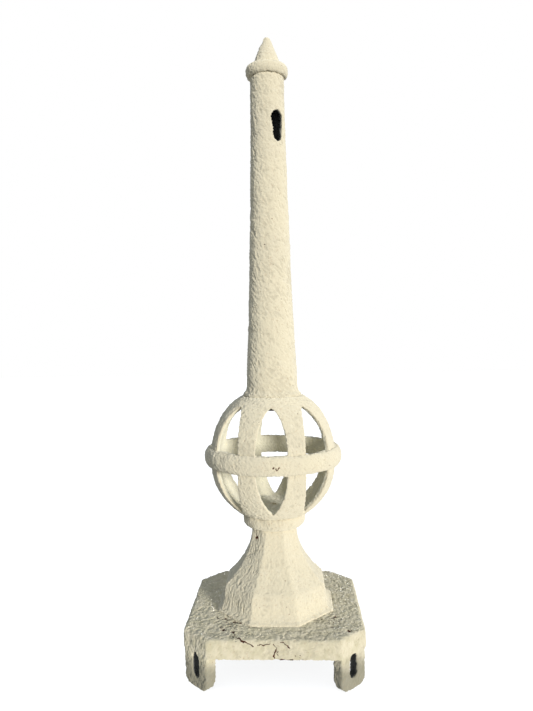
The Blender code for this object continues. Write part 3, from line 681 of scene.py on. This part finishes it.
def make_upper_cage():
    center = SEAM + DOME_OFFSET
    underside = CROWN - BALL_DECK
    inner = BALL_RADIUS - BALL_WALL
    spigot_top = CROWN + SPIGOT_HEIGHT
    profile = [
        (BOLT_HOLE_RADIUS, spigot_top),
        (UPPER_SPIGOT_RADIUS, spigot_top),
        (UPPER_SPIGOT_RADIUS, CROWN),
    ]
    profile += arc(BALL_RADIUS, center, math.asin((CROWN - center) / BALL_RADIUS), 0, 40)
    profile += [(BALL_RADIUS, SEAM - SEAM_FILL), (inner, SEAM - SEAM_FILL)]
    profile += arc(inner, center, 0, math.asin((underside - center) / inner), 40)[1:]
    profile += [(BOLT_HOLE_RADIUS, underside)]
    cage = turned("upper_cage_painted", profile, 128)
    cut_gaps(cage, 1)
    cast(cage, voxel=0.0013, rounds=3)
    paint_over(cage, "upper_cage", stretch=1.3, smooth=0.4)


def make_lower_cage():
    center = SEAM - DOME_OFFSET
    bottom = low("lower_cage").z
    floor = bottom + BALL_DECK
    inner = BALL_RADIUS - BALL_WALL
    recess = UPPER_SPIGOT_RADIUS + GAP
    recess_top = bottom + SPIGOT_HEIGHT
    profile = [(BOLT_HOLE_RADIUS, floor)]
    profile += reversed(arc(inner, center, 0, math.asin((floor - center) / inner), 40)[1:])
    profile += [(inner, SEAM + SEAM_FILL), (BALL_RADIUS, SEAM + SEAM_FILL)]
    profile += arc(BALL_RADIUS, center, 0, math.asin((bottom - center) / BALL_RADIUS), 40)
    profile += [(recess, bottom), (recess, recess_top), (BOLT_HOLE_RADIUS, recess_top)]
    cage = turned("lower_cage_painted", profile, 128)
    cut_gaps(cage, -1)
    cast(cage, voxel=0.0013, rounds=3)
    paint_over(cage, "lower_cage", stretch=1.3, smooth=0.4)


def make_equator_ring():
    inner = BALL_RADIUS - SEAM_FILL
    ring = turned("equator_ring_painted", bead(inner, inner, RING_RADIUS, SEAM, RING_HALF_HEIGHT, 25), 160)
    cast(ring, voxel=0.0012, rounds=2)
    paint_over(ring, "equator_ring", stretch=0.7, smooth=0.5)


# ---- spire ----------------------------------------------------------------

def spire_radius(height):
    neck = CROWN + SPIRE_NECK_RISE
    share = (SPIRE_TOP - height) / (SPIRE_TOP - neck)
    return SPIRE_TOP_RADIUS + (SPIRE_NECK_RADIUS - SPIRE_TOP_RADIUS) * share ** SPIRE_TAPER_POWER


def spire_side(bottom, top, count, inset):
    return [(spire_radius(h) - inset, h) for h in np.linspace(top, bottom, count)]


def core_hole_outline():
    """Upright opening, wider at the top than at the foot, with round ends and a ragged left side."""
    top = CORE_HOLE_TOP_WIDTH / 2
    foot = CORE_HOLE_FOOT_WIDTH / 2
    highest = SPIRE_TOP - CORE_HOLE_DROP
    lowest = highest - CORE_HOLE_LENGTH
    turn = np.linspace(0, math.pi, 13)
    upper = [(top * math.cos(a), highest - top + top * math.sin(a)) for a in turn]
    lower = [(-foot * math.cos(a), lowest + foot - foot * math.sin(a)) for a in turn]
    rng = np.random.default_rng(RAGGED_SEED)
    ragged = []
    for share in np.linspace(0.04, 0.9, 12):
        side = top + (foot - top) * share + rng.uniform(-RAGGED_EDGE, RAGGED_EDGE)
        ragged.append((-side, highest - top - (CORE_HOLE_LENGTH - top - foot) * share))
    return upper + ragged + lower


def inside_spire(points):
    """1 on the raw iron of the spire's bore and its opening's edge, 0 on the outside."""
    radius = np.hypot(points[:, 0], points[:, 1])
    share = np.clip((SPIRE_TOP - points[:, 2]) / (SPIRE_TOP - CROWN - SPIRE_NECK_RISE), 0, 1)
    outside = SPIRE_TOP_RADIUS + (SPIRE_NECK_RADIUS - SPIRE_TOP_RADIUS) * share ** SPIRE_TAPER_POWER
    return np.clip((outside - radius) / SPIRE_WALL * 2 - 0.2, 0, 1)


def make_shaft():
    foot = CROWN + GAP
    neck = CROWN + SPIRE_NECK_RISE
    recess = UPPER_SPIGOT_RADIUS + GAP
    bridge_low = foot + SPIGOT_HEIGHT
    bridge_high = bridge_low + SPIRE_BRIDGE
    lip = CROWN + SPIRE_FOOT_LIP
    profile = spire_side(neck, SPIRE_TOP, 90, 0.0)
    for a in np.linspace(0, math.radians(90), 14)[1:]:
        radius = SPIRE_FOOT_RADIUS - (SPIRE_FOOT_RADIUS - SPIRE_NECK_RADIUS) * math.cos(a)
        profile.append((radius, neck - (neck - lip) * math.sin(a)))
    profile += [(SPIRE_FOOT_RADIUS + SEAM_FILL, foot), (SPIRE_FOOT_RADIUS + SEAM_FILL, foot - SEAM_FILL)]
    profile += [(recess, foot - SEAM_FILL), (recess, bridge_low)]
    profile += [(BOLT_HOLE_RADIUS, bridge_low), (BOLT_HOLE_RADIUS, bridge_high)]
    profile += reversed(spire_side(neck + SPIRE_BRIDGE / 2, SPIRE_TOP, 60, SPIRE_WALL))
    shaft = turned("shaft_painted", profile, 96)
    place = face_outwards(SPIRE_TOP_RADIUS, 0, FRONT + CORE_HOLE_AZIMUTH)
    cut(shaft, [outline_solid("core_hole", core_hole_outline(), SPIRE_TOP_RADIUS, place)])
    cast(shaft, voxel=0.0013, rounds=2)
    paint_over(shaft, "shaft", twist=22.0, stretch=1.4, raw=inside_spire)


# ---- cap ring and tip -----------------------------------------------------

def make_cap_ring():
    bottom = SPIRE_TOP + GAP
    middle = (CAP_TOP + bottom) / 2
    half = (CAP_TOP - bottom) / 2
    bore = TIP_SPIGOT_RADIUS + GAP
    spigot = SPIRE_TOP_RADIUS - SPIRE_WALL - GAP
    spigot_end = bottom - CAP_SPIGOT_LENGTH
    profile = [(bore, CAP_TOP)] + bead(CAP_SHELF_RADIUS, SPIRE_TOP_RADIUS, CAP_RADIUS, middle, half, 25)
    profile += [(spigot, bottom), (spigot, spigot_end), (bore, spigot_end)]
    ring = turned("cap_ring_painted", profile, 96)
    cast(ring, voxel=0.0010, rounds=2)
    paint_over(ring, "cap_ring", smooth=0.7)


def make_tip():
    foot = CAP_TOP + GAP
    profile = arc(TIP_END_RADIUS, TIP_TOP - TIP_END_RADIUS, math.radians(90), TIP_SLOPE, 12)
    profile += [(TIP_RADIUS, foot), (TIP_SPIGOT_RADIUS, foot)]
    profile += [(TIP_SPIGOT_RADIUS, foot - TIP_SPIGOT_LENGTH), (0, foot - TIP_SPIGOT_LENGTH)]
    tip = turned("tip_painted", profile, 96, closed=False)
    cast(tip, voxel=0.0010, rounds=3)
    paint_over(tip, "tip", stretch=1.5, smooth=0.85)


# ---- materials ------------------------------------------------------------

class Graph:
    """A material's nodes, added and joined in one step each."""

    def __init__(self, name):
        self.material = bpy.data.materials.new(name)
        self.material.use_nodes = True
        self.tree = self.material.node_tree
        self.shader = self.tree.nodes["Principled BSDF"]

    def join(self, value, socket):
        if isinstance(value, bpy.types.NodeSocket):
            self.tree.links.new(value, socket)
        else:
            socket.default_value = value

    def add(self, kind, inputs, output=0, **settings):
        node = self.tree.nodes.new(kind)
        for name, value in settings.items():
            setattr(node, name, value)
        for key, value in inputs.items():
            self.join(value, node.inputs[key])
        return node.outputs[output]

    def sum(self, operation, a, b, clamp=False):
        return self.add("ShaderNodeMath", {0: a, 1: b}, operation=operation, use_clamp=clamp)

    def vector(self, operation, a, b):
        return self.add("ShaderNodeVectorMath", {0: a, 1: b}, operation=operation)

    def between(self, value, start, end):
        """0 below start, 1 above end, smooth in between."""
        inputs = {"Value": value, "From Min": start, "From Max": end}
        return self.add("ShaderNodeMapRange", inputs, interpolation_type="SMOOTHSTEP")

    def noise(self, vector, scale, detail=2.0):
        inputs = {"Vector": vector, "Scale": scale, "Detail": detail}
        return self.add("ShaderNodeTexNoise", inputs)

    def mix(self, factor, a, b):
        """Colour a where factor is 0, colour b where it is 1."""
        node = self.tree.nodes.new("ShaderNodeMix")
        node.data_type = "RGBA"
        self.join(factor, node.inputs["Factor"])
        self.join(a, node.inputs[6])
        self.join(b, node.inputs[7])
        return node.outputs[2]

    def attribute(self, name):
        return self.add("ShaderNodeAttribute", {}, output=2, attribute_name=name)

    def position(self):
        return self.add("ShaderNodeTexCoord", {}, output=3)


PAINT_BUMP = 0.0021
POST_CAP_BUMP = 0.0016


def rust_color(graph, place):
    dark = (0.035, 0.012, 0.008, 1)
    bright = (0.17, 0.055, 0.024, 1)
    return graph.mix(graph.between(graph.noise(place, 700, 3), 0.4, 0.65), dark, bright)


def distance_to_piece(graph, place, start, end):
    """Distance from each place to the straight piece between two points, CRACK_REACH applied."""
    way = end - start
    along = graph.vector("SUBTRACT", place, tuple(start))
    share = graph.add(
        "ShaderNodeVectorMath", {0: along, 1: tuple(way / (way @ way))}, output=1, operation="DOT_PRODUCT"
    )
    share = graph.sum("ADD", share, 0.0, clamp=True)
    reached = graph.add("ShaderNodeVectorMath", {0: tuple(way), "Scale": share}, operation="SCALE")
    short = graph.vector("MULTIPLY", graph.vector("SUBTRACT", along, reached), CRACK_REACH)
    return graph.add("ShaderNodeVectorMath", {0: short}, output=1, operation="LENGTH")


def cracked_share(graph, place):
    """1 in the cracks of the post cap's paint, 0 beside them."""
    warp = graph.add("ShaderNodeTexNoise", {"Vector": place, "Scale": 260.0, "Detail": 3.0}, output=1)
    warp = graph.vector("MULTIPLY", graph.vector("SUBTRACT", warp, (0.5, 0.5, 0.5)), CRACK_WANDER)
    bent = graph.vector("ADD", place, warp)
    nearest = 1.0
    for path in CRACKS:
        corners = [place_in_box("base_plate", shares) for shares in path]
        for start, end in zip(corners, corners[1:]):
            nearest = graph.sum("MINIMUM", distance_to_piece(graph, bent, start, end), nearest)
    width = graph.between(graph.noise(place, 180, 2), 0.3, 0.7)
    width = graph.sum("MULTIPLY", graph.sum("ADD", width, 0.35), CRACK_HALF_WIDTH)
    return graph.sum("LESS_THAN", nearest, width)


def make_paint(name, post_cap=False):
    """Old cream oil paint, chipped and specked with rust; on the post cap also cracked and darker towards the
    bottom.
    """
    graph = Graph(name)
    place = graph.position()
    cream = (0.800, 0.735, 0.565, 1)
    dull = (0.770, 0.708, 0.550, 1)
    pale = (0.815, 0.755, 0.595, 1)
    grime_and_hollow_shade = (0.50, 0.45, 0.33, 1)
    weathered = (0.675, 0.620, 0.440, 1)
    darkened_bottom = (0.25, 0.235, 0.170, 1)
    stain = (0.50, 0.32, 0.17, 1)
    iron = (0.17, 0.168, 0.157, 1)
    painted_light_inside = (0.82, 0.785, 0.64, 1)
    color = graph.mix(graph.between(graph.noise(place, 22, 4), 0.42, 0.72), cream, dull)
    color = graph.mix(graph.between(graph.noise(place, 120, 3), 0.56, 0.74), color, pale)
    if post_cap:
        color = graph.mix(graph.between(graph.noise(place, 90, 3), 0.75, 0.25), color, weathered)
        # The post cap's colour darkens towards the bottom, down the lugs
        height = graph.add("ShaderNodeSeparateXYZ", {0: place}, output=2)
        uneven = graph.sum("MULTIPLY", graph.noise(place, 70, 3), 0.02)
        low_down = graph.between(graph.sum("ADD", height, uneven), 0.056, 0.030)
        color = graph.mix(graph.sum("MULTIPLY", low_down, 0.75), color, darkened_bottom)
    # The relief's hollows are darker: grime, and painted shade in the dips
    hollow = graph.between(graph.attribute("hollow"), 0.4, 2.0)
    color = graph.mix(graph.sum("MULTIPLY", hollow, 0.30), color, grime_and_hollow_shade)

    ragged = graph.sum("MULTIPLY", graph.sum("SUBTRACT", graph.noise(place, 450, 3), 0.5), 1.8)
    chip_edge = graph.sum("ADD", graph.attribute("chipped"), ragged)
    chipped = graph.between(chip_edge, 0.45, 0.52)
    speck_zone = graph.sum("MULTIPLY", graph.between(graph.attribute("specked"), 0.0, 0.7), 0.115)
    specked = graph.between(graph.sum("ADD", graph.noise(place, 330, 3), speck_zone), 0.735, 0.755)
    bare = graph.sum("MAXIMUM", chipped, specked, clamp=True)
    if post_cap:
        bare = graph.sum("MAXIMUM", bare, cracked_share(graph, place))
    halo = graph.between(chip_edge, 0.1, 0.6)
    color = graph.mix(graph.sum("MULTIPLY", halo, 0.5), color, stain)
    color = graph.mix(bare, color, rust_color(graph, place))
    color = graph.mix(graph.attribute("raw"), color, iron)
    # Inside the ball the paint is made paler: painted light on its shaded inner faces
    color = graph.mix(graph.attribute("inner"), color, painted_light_inside)
    graph.join(color, graph.shader.inputs["Base Color"])

    satin = graph.sum("ADD", graph.sum("MULTIPLY", graph.noise(place, 150, 3), 0.16), 0.50)
    graph.join(graph.sum("ADD", satin, graph.sum("MULTIPLY", bare, 0.35)), graph.shader.inputs["Roughness"])
    graph.shader.inputs["Diffuse Roughness"].default_value = 1.0
    graph.shader.inputs["Specular IOR Level"].default_value = 0.4

    fine = graph.sum("MULTIPLY", graph.noise(place, 340, 3), 0.7)
    height = graph.sum("SUBTRACT", fine, graph.sum("MULTIPLY", bare, 0.6))
    depth = POST_CAP_BUMP if post_cap else PAINT_BUMP
    bump = graph.add("ShaderNodeBump", {"Strength": 1.0, "Distance": depth, "Height": height})
    graph.join(bump, graph.shader.inputs["Normal"])
    return graph.material


def make_rusty_iron():
    """Bare fasteners on the hidden side, brown with rust."""
    graph = Graph("rusty_iron")
    place = graph.position()
    dark = (0.045, 0.028, 0.022, 1)
    brown = (0.22, 0.10, 0.055, 1)
    color = graph.mix(graph.between(graph.noise(place, 260, 5), 0.38, 0.66), dark, brown)
    graph.join(color, graph.shader.inputs["Base Color"])
    graph.shader.inputs["Metallic"].default_value = 0.25
    rough = graph.sum("ADD", graph.sum("MULTIPLY", graph.noise(place, 500), 0.3), 0.55)
    graph.join(rough, graph.shader.inputs["Roughness"])
    pits = graph.noise(place, 600, 4)
    bump = graph.add("ShaderNodeBump", {"Strength": 0.7, "Distance": 0.0003, "Height": pits})
    graph.join(bump, graph.shader.inputs["Normal"])
    return graph.material


def finish_fasteners(paint, iron):
    """The CAD nodes that stay: painted screws and pin, and bare iron under the decks."""
    bare = {"lower_cage_washer", "lower_cage_nut", "spire_washer", "spire_bolt"}
    bare |= {f"pedestal_screw_{i}" for i in range(1, 5)}
    for name, item in frame["nodes"].items():
        item.data.materials.clear()
        item.data.materials.append(iron if name in bare else paint)


# ---- stage ----------------------------------------------------------------

SUN_AZIMUTH = math.radians(32)
SUN_ELEVATION = math.radians(9)
SUN_STRENGTH = 2.9
BACK_STRENGTH = 1.0
OVERHEAD_STRENGTH = 3.2
FLOOR_SIZE = 12.0
SUN_SPREAD = math.radians(12)
BACK_SPREAD = math.radians(8)
OVERHEAD_SPREAD = math.radians(60)
CAMERA_PLACE = (0.0259, -0.8557, 0.4356)
CAMERA_PAN = math.radians(2.2014)
CAMERA_TILT = math.radians(88.165)
CAMERA_ROLL = math.radians(-0.969)
CAMERA_LENS = 31.583


def make_camera():
    camera = bpy.data.objects.new("camera", bpy.data.cameras.new("camera"))
    bpy.context.scene.collection.objects.link(camera)
    camera.data.lens = CAMERA_LENS
    camera.data.clip_start = 0.01
    turn = Matrix.Rotation(CAMERA_PAN, 4, "Z") @ Matrix.Rotation(CAMERA_TILT, 4, "X")
    turn = turn @ Matrix.Rotation(CAMERA_ROLL, 4, "Z")
    camera.matrix_world = Matrix.Translation(CAMERA_PLACE) @ turn
    bpy.context.scene.camera = camera


def make_sun(name, direction, strength, color, angle):
    """Sun light that comes from the given direction."""
    light = bpy.data.lights.new(name, "SUN")
    light.energy = strength
    light.color = color
    light.angle = angle
    sun = bpy.data.objects.new(name, light)
    bpy.context.scene.collection.objects.link(sun)
    sun.rotation_mode = "QUATERNION"
    sun.rotation_quaternion = Vector(direction).to_track_quat("Z", "Y")
    return sun


def make_floor():
    graph = Graph("pale_floor")
    place = graph.position()
    cloud = graph.between(graph.noise(place, 3, 2), 0.3, 0.7)
    tone = graph.mix(cloud, (0.90, 0.90, 0.90, 1), (0.92, 0.92, 0.92, 1))
    graph.join(tone, graph.shader.inputs["Base Color"])
    graph.shader.inputs["Roughness"].default_value = 1.0
    graph.shader.inputs["Specular IOR Level"].default_value = 0.0
    shape = bmesh.new()
    bmesh.ops.create_grid(shape, x_segments=8, y_segments=8, size=FLOOR_SIZE / 2)
    mesh = bpy.data.meshes.new("floor")
    shape.to_mesh(mesh)
    shape.free()
    floor = add_object("floor", mesh)
    floor.location.z = GROUND
    mesh.materials.append(graph.material)
    floor.visible_diffuse = False
    floor.visible_glossy = False
    return floor


def make_world():
    """White behind everything; an even, cool light from above and a warmer one from the ground."""
    world = bpy.data.worlds.new("studio")
    bpy.context.scene.world = world
    world.use_nodes = True
    tree = world.node_tree
    tree.nodes.clear()
    place = tree.nodes.new("ShaderNodeTexCoord")
    split = tree.nodes.new("ShaderNodeSeparateXYZ")
    ramp = tree.nodes.new("ShaderNodeMapRange")
    ramp.inputs["From Min"].default_value = -0.3
    ramp.inputs["From Max"].default_value = 0.3
    tones = tree.nodes.new("ShaderNodeMix")
    tones.data_type = "RGBA"
    tones.inputs[6].default_value = (0.270, 0.280, 0.280, 1)
    tones.inputs[7].default_value = (0.340, 0.380, 0.425, 1)
    light = tree.nodes.new("ShaderNodeBackground")
    white = tree.nodes.new("ShaderNodeBackground")
    white.inputs["Color"].default_value = (1, 1, 1, 1)
    path = tree.nodes.new("ShaderNodeLightPath")
    blend = tree.nodes.new("ShaderNodeMixShader")
    output = tree.nodes.new("ShaderNodeOutputWorld")
    for start, end in (
        (place.outputs["Generated"], split.inputs[0]),
        (split.outputs["Z"], ramp.inputs["Value"]),
        (ramp.outputs["Result"], tones.inputs["Factor"]),
        (tones.outputs[2], light.inputs["Color"]),
        (path.outputs["Is Camera Ray"], blend.inputs["Fac"]),
        (light.outputs[0], blend.inputs[1]),
        (white.outputs[0], blend.inputs[2]),
        (blend.outputs[0], output.inputs["Surface"]),
    ):
        tree.links.new(start, end)


def light_stage(floor):
    """A low, soft sun on the object, a weaker light behind it, and one from above on the floor alone."""
    across = math.cos(SUN_ELEVATION)
    direction = (
        math.sin(SUN_AZIMUTH) * across,
        -math.cos(SUN_AZIMUTH) * across,
        math.sin(SUN_ELEVATION),
    )
    sun = make_sun("sun", direction, SUN_STRENGTH, (1.0, 0.985, 0.955), SUN_SPREAD)
    back = make_sun("back", (0, 1, 0), BACK_STRENGTH, (0.95, 0.97, 1.0), BACK_SPREAD)
    overhead = make_sun("overhead", (0, 0, 1), OVERHEAD_STRENGTH, (1, 1, 1), OVERHEAD_SPREAD)
    object_set = bpy.data.collections.new("object_set")
    floor_set = bpy.data.collections.new("floor_set")
    for item in bpy.context.scene.collection.objects:
        if item.type == "MESH" and item != floor:
            object_set.objects.link(item)
    floor_set.objects.link(floor)
    for light in (sun, back):
        light.light_linking.receiver_collection = object_set
    overhead.light_linking.receiver_collection = floor_set
    overhead.light_linking.blocker_collection = floor_set


PAINT = make_paint("old_cream_paint")
CRACKED_PAINT = make_paint("cracked_cream_paint", post_cap=True)
finish_fasteners(PAINT, make_rusty_iron())
make_base_plate()
make_pedestal()
make_neck_collar()
make_lower_cage()
make_upper_cage()
make_equator_ring()
make_shaft()
make_cap_ring()
make_tip()

bpy.context.scene.view_settings.view_transform = "Standard"
make_camera()
make_world()
light_stage(make_floor())
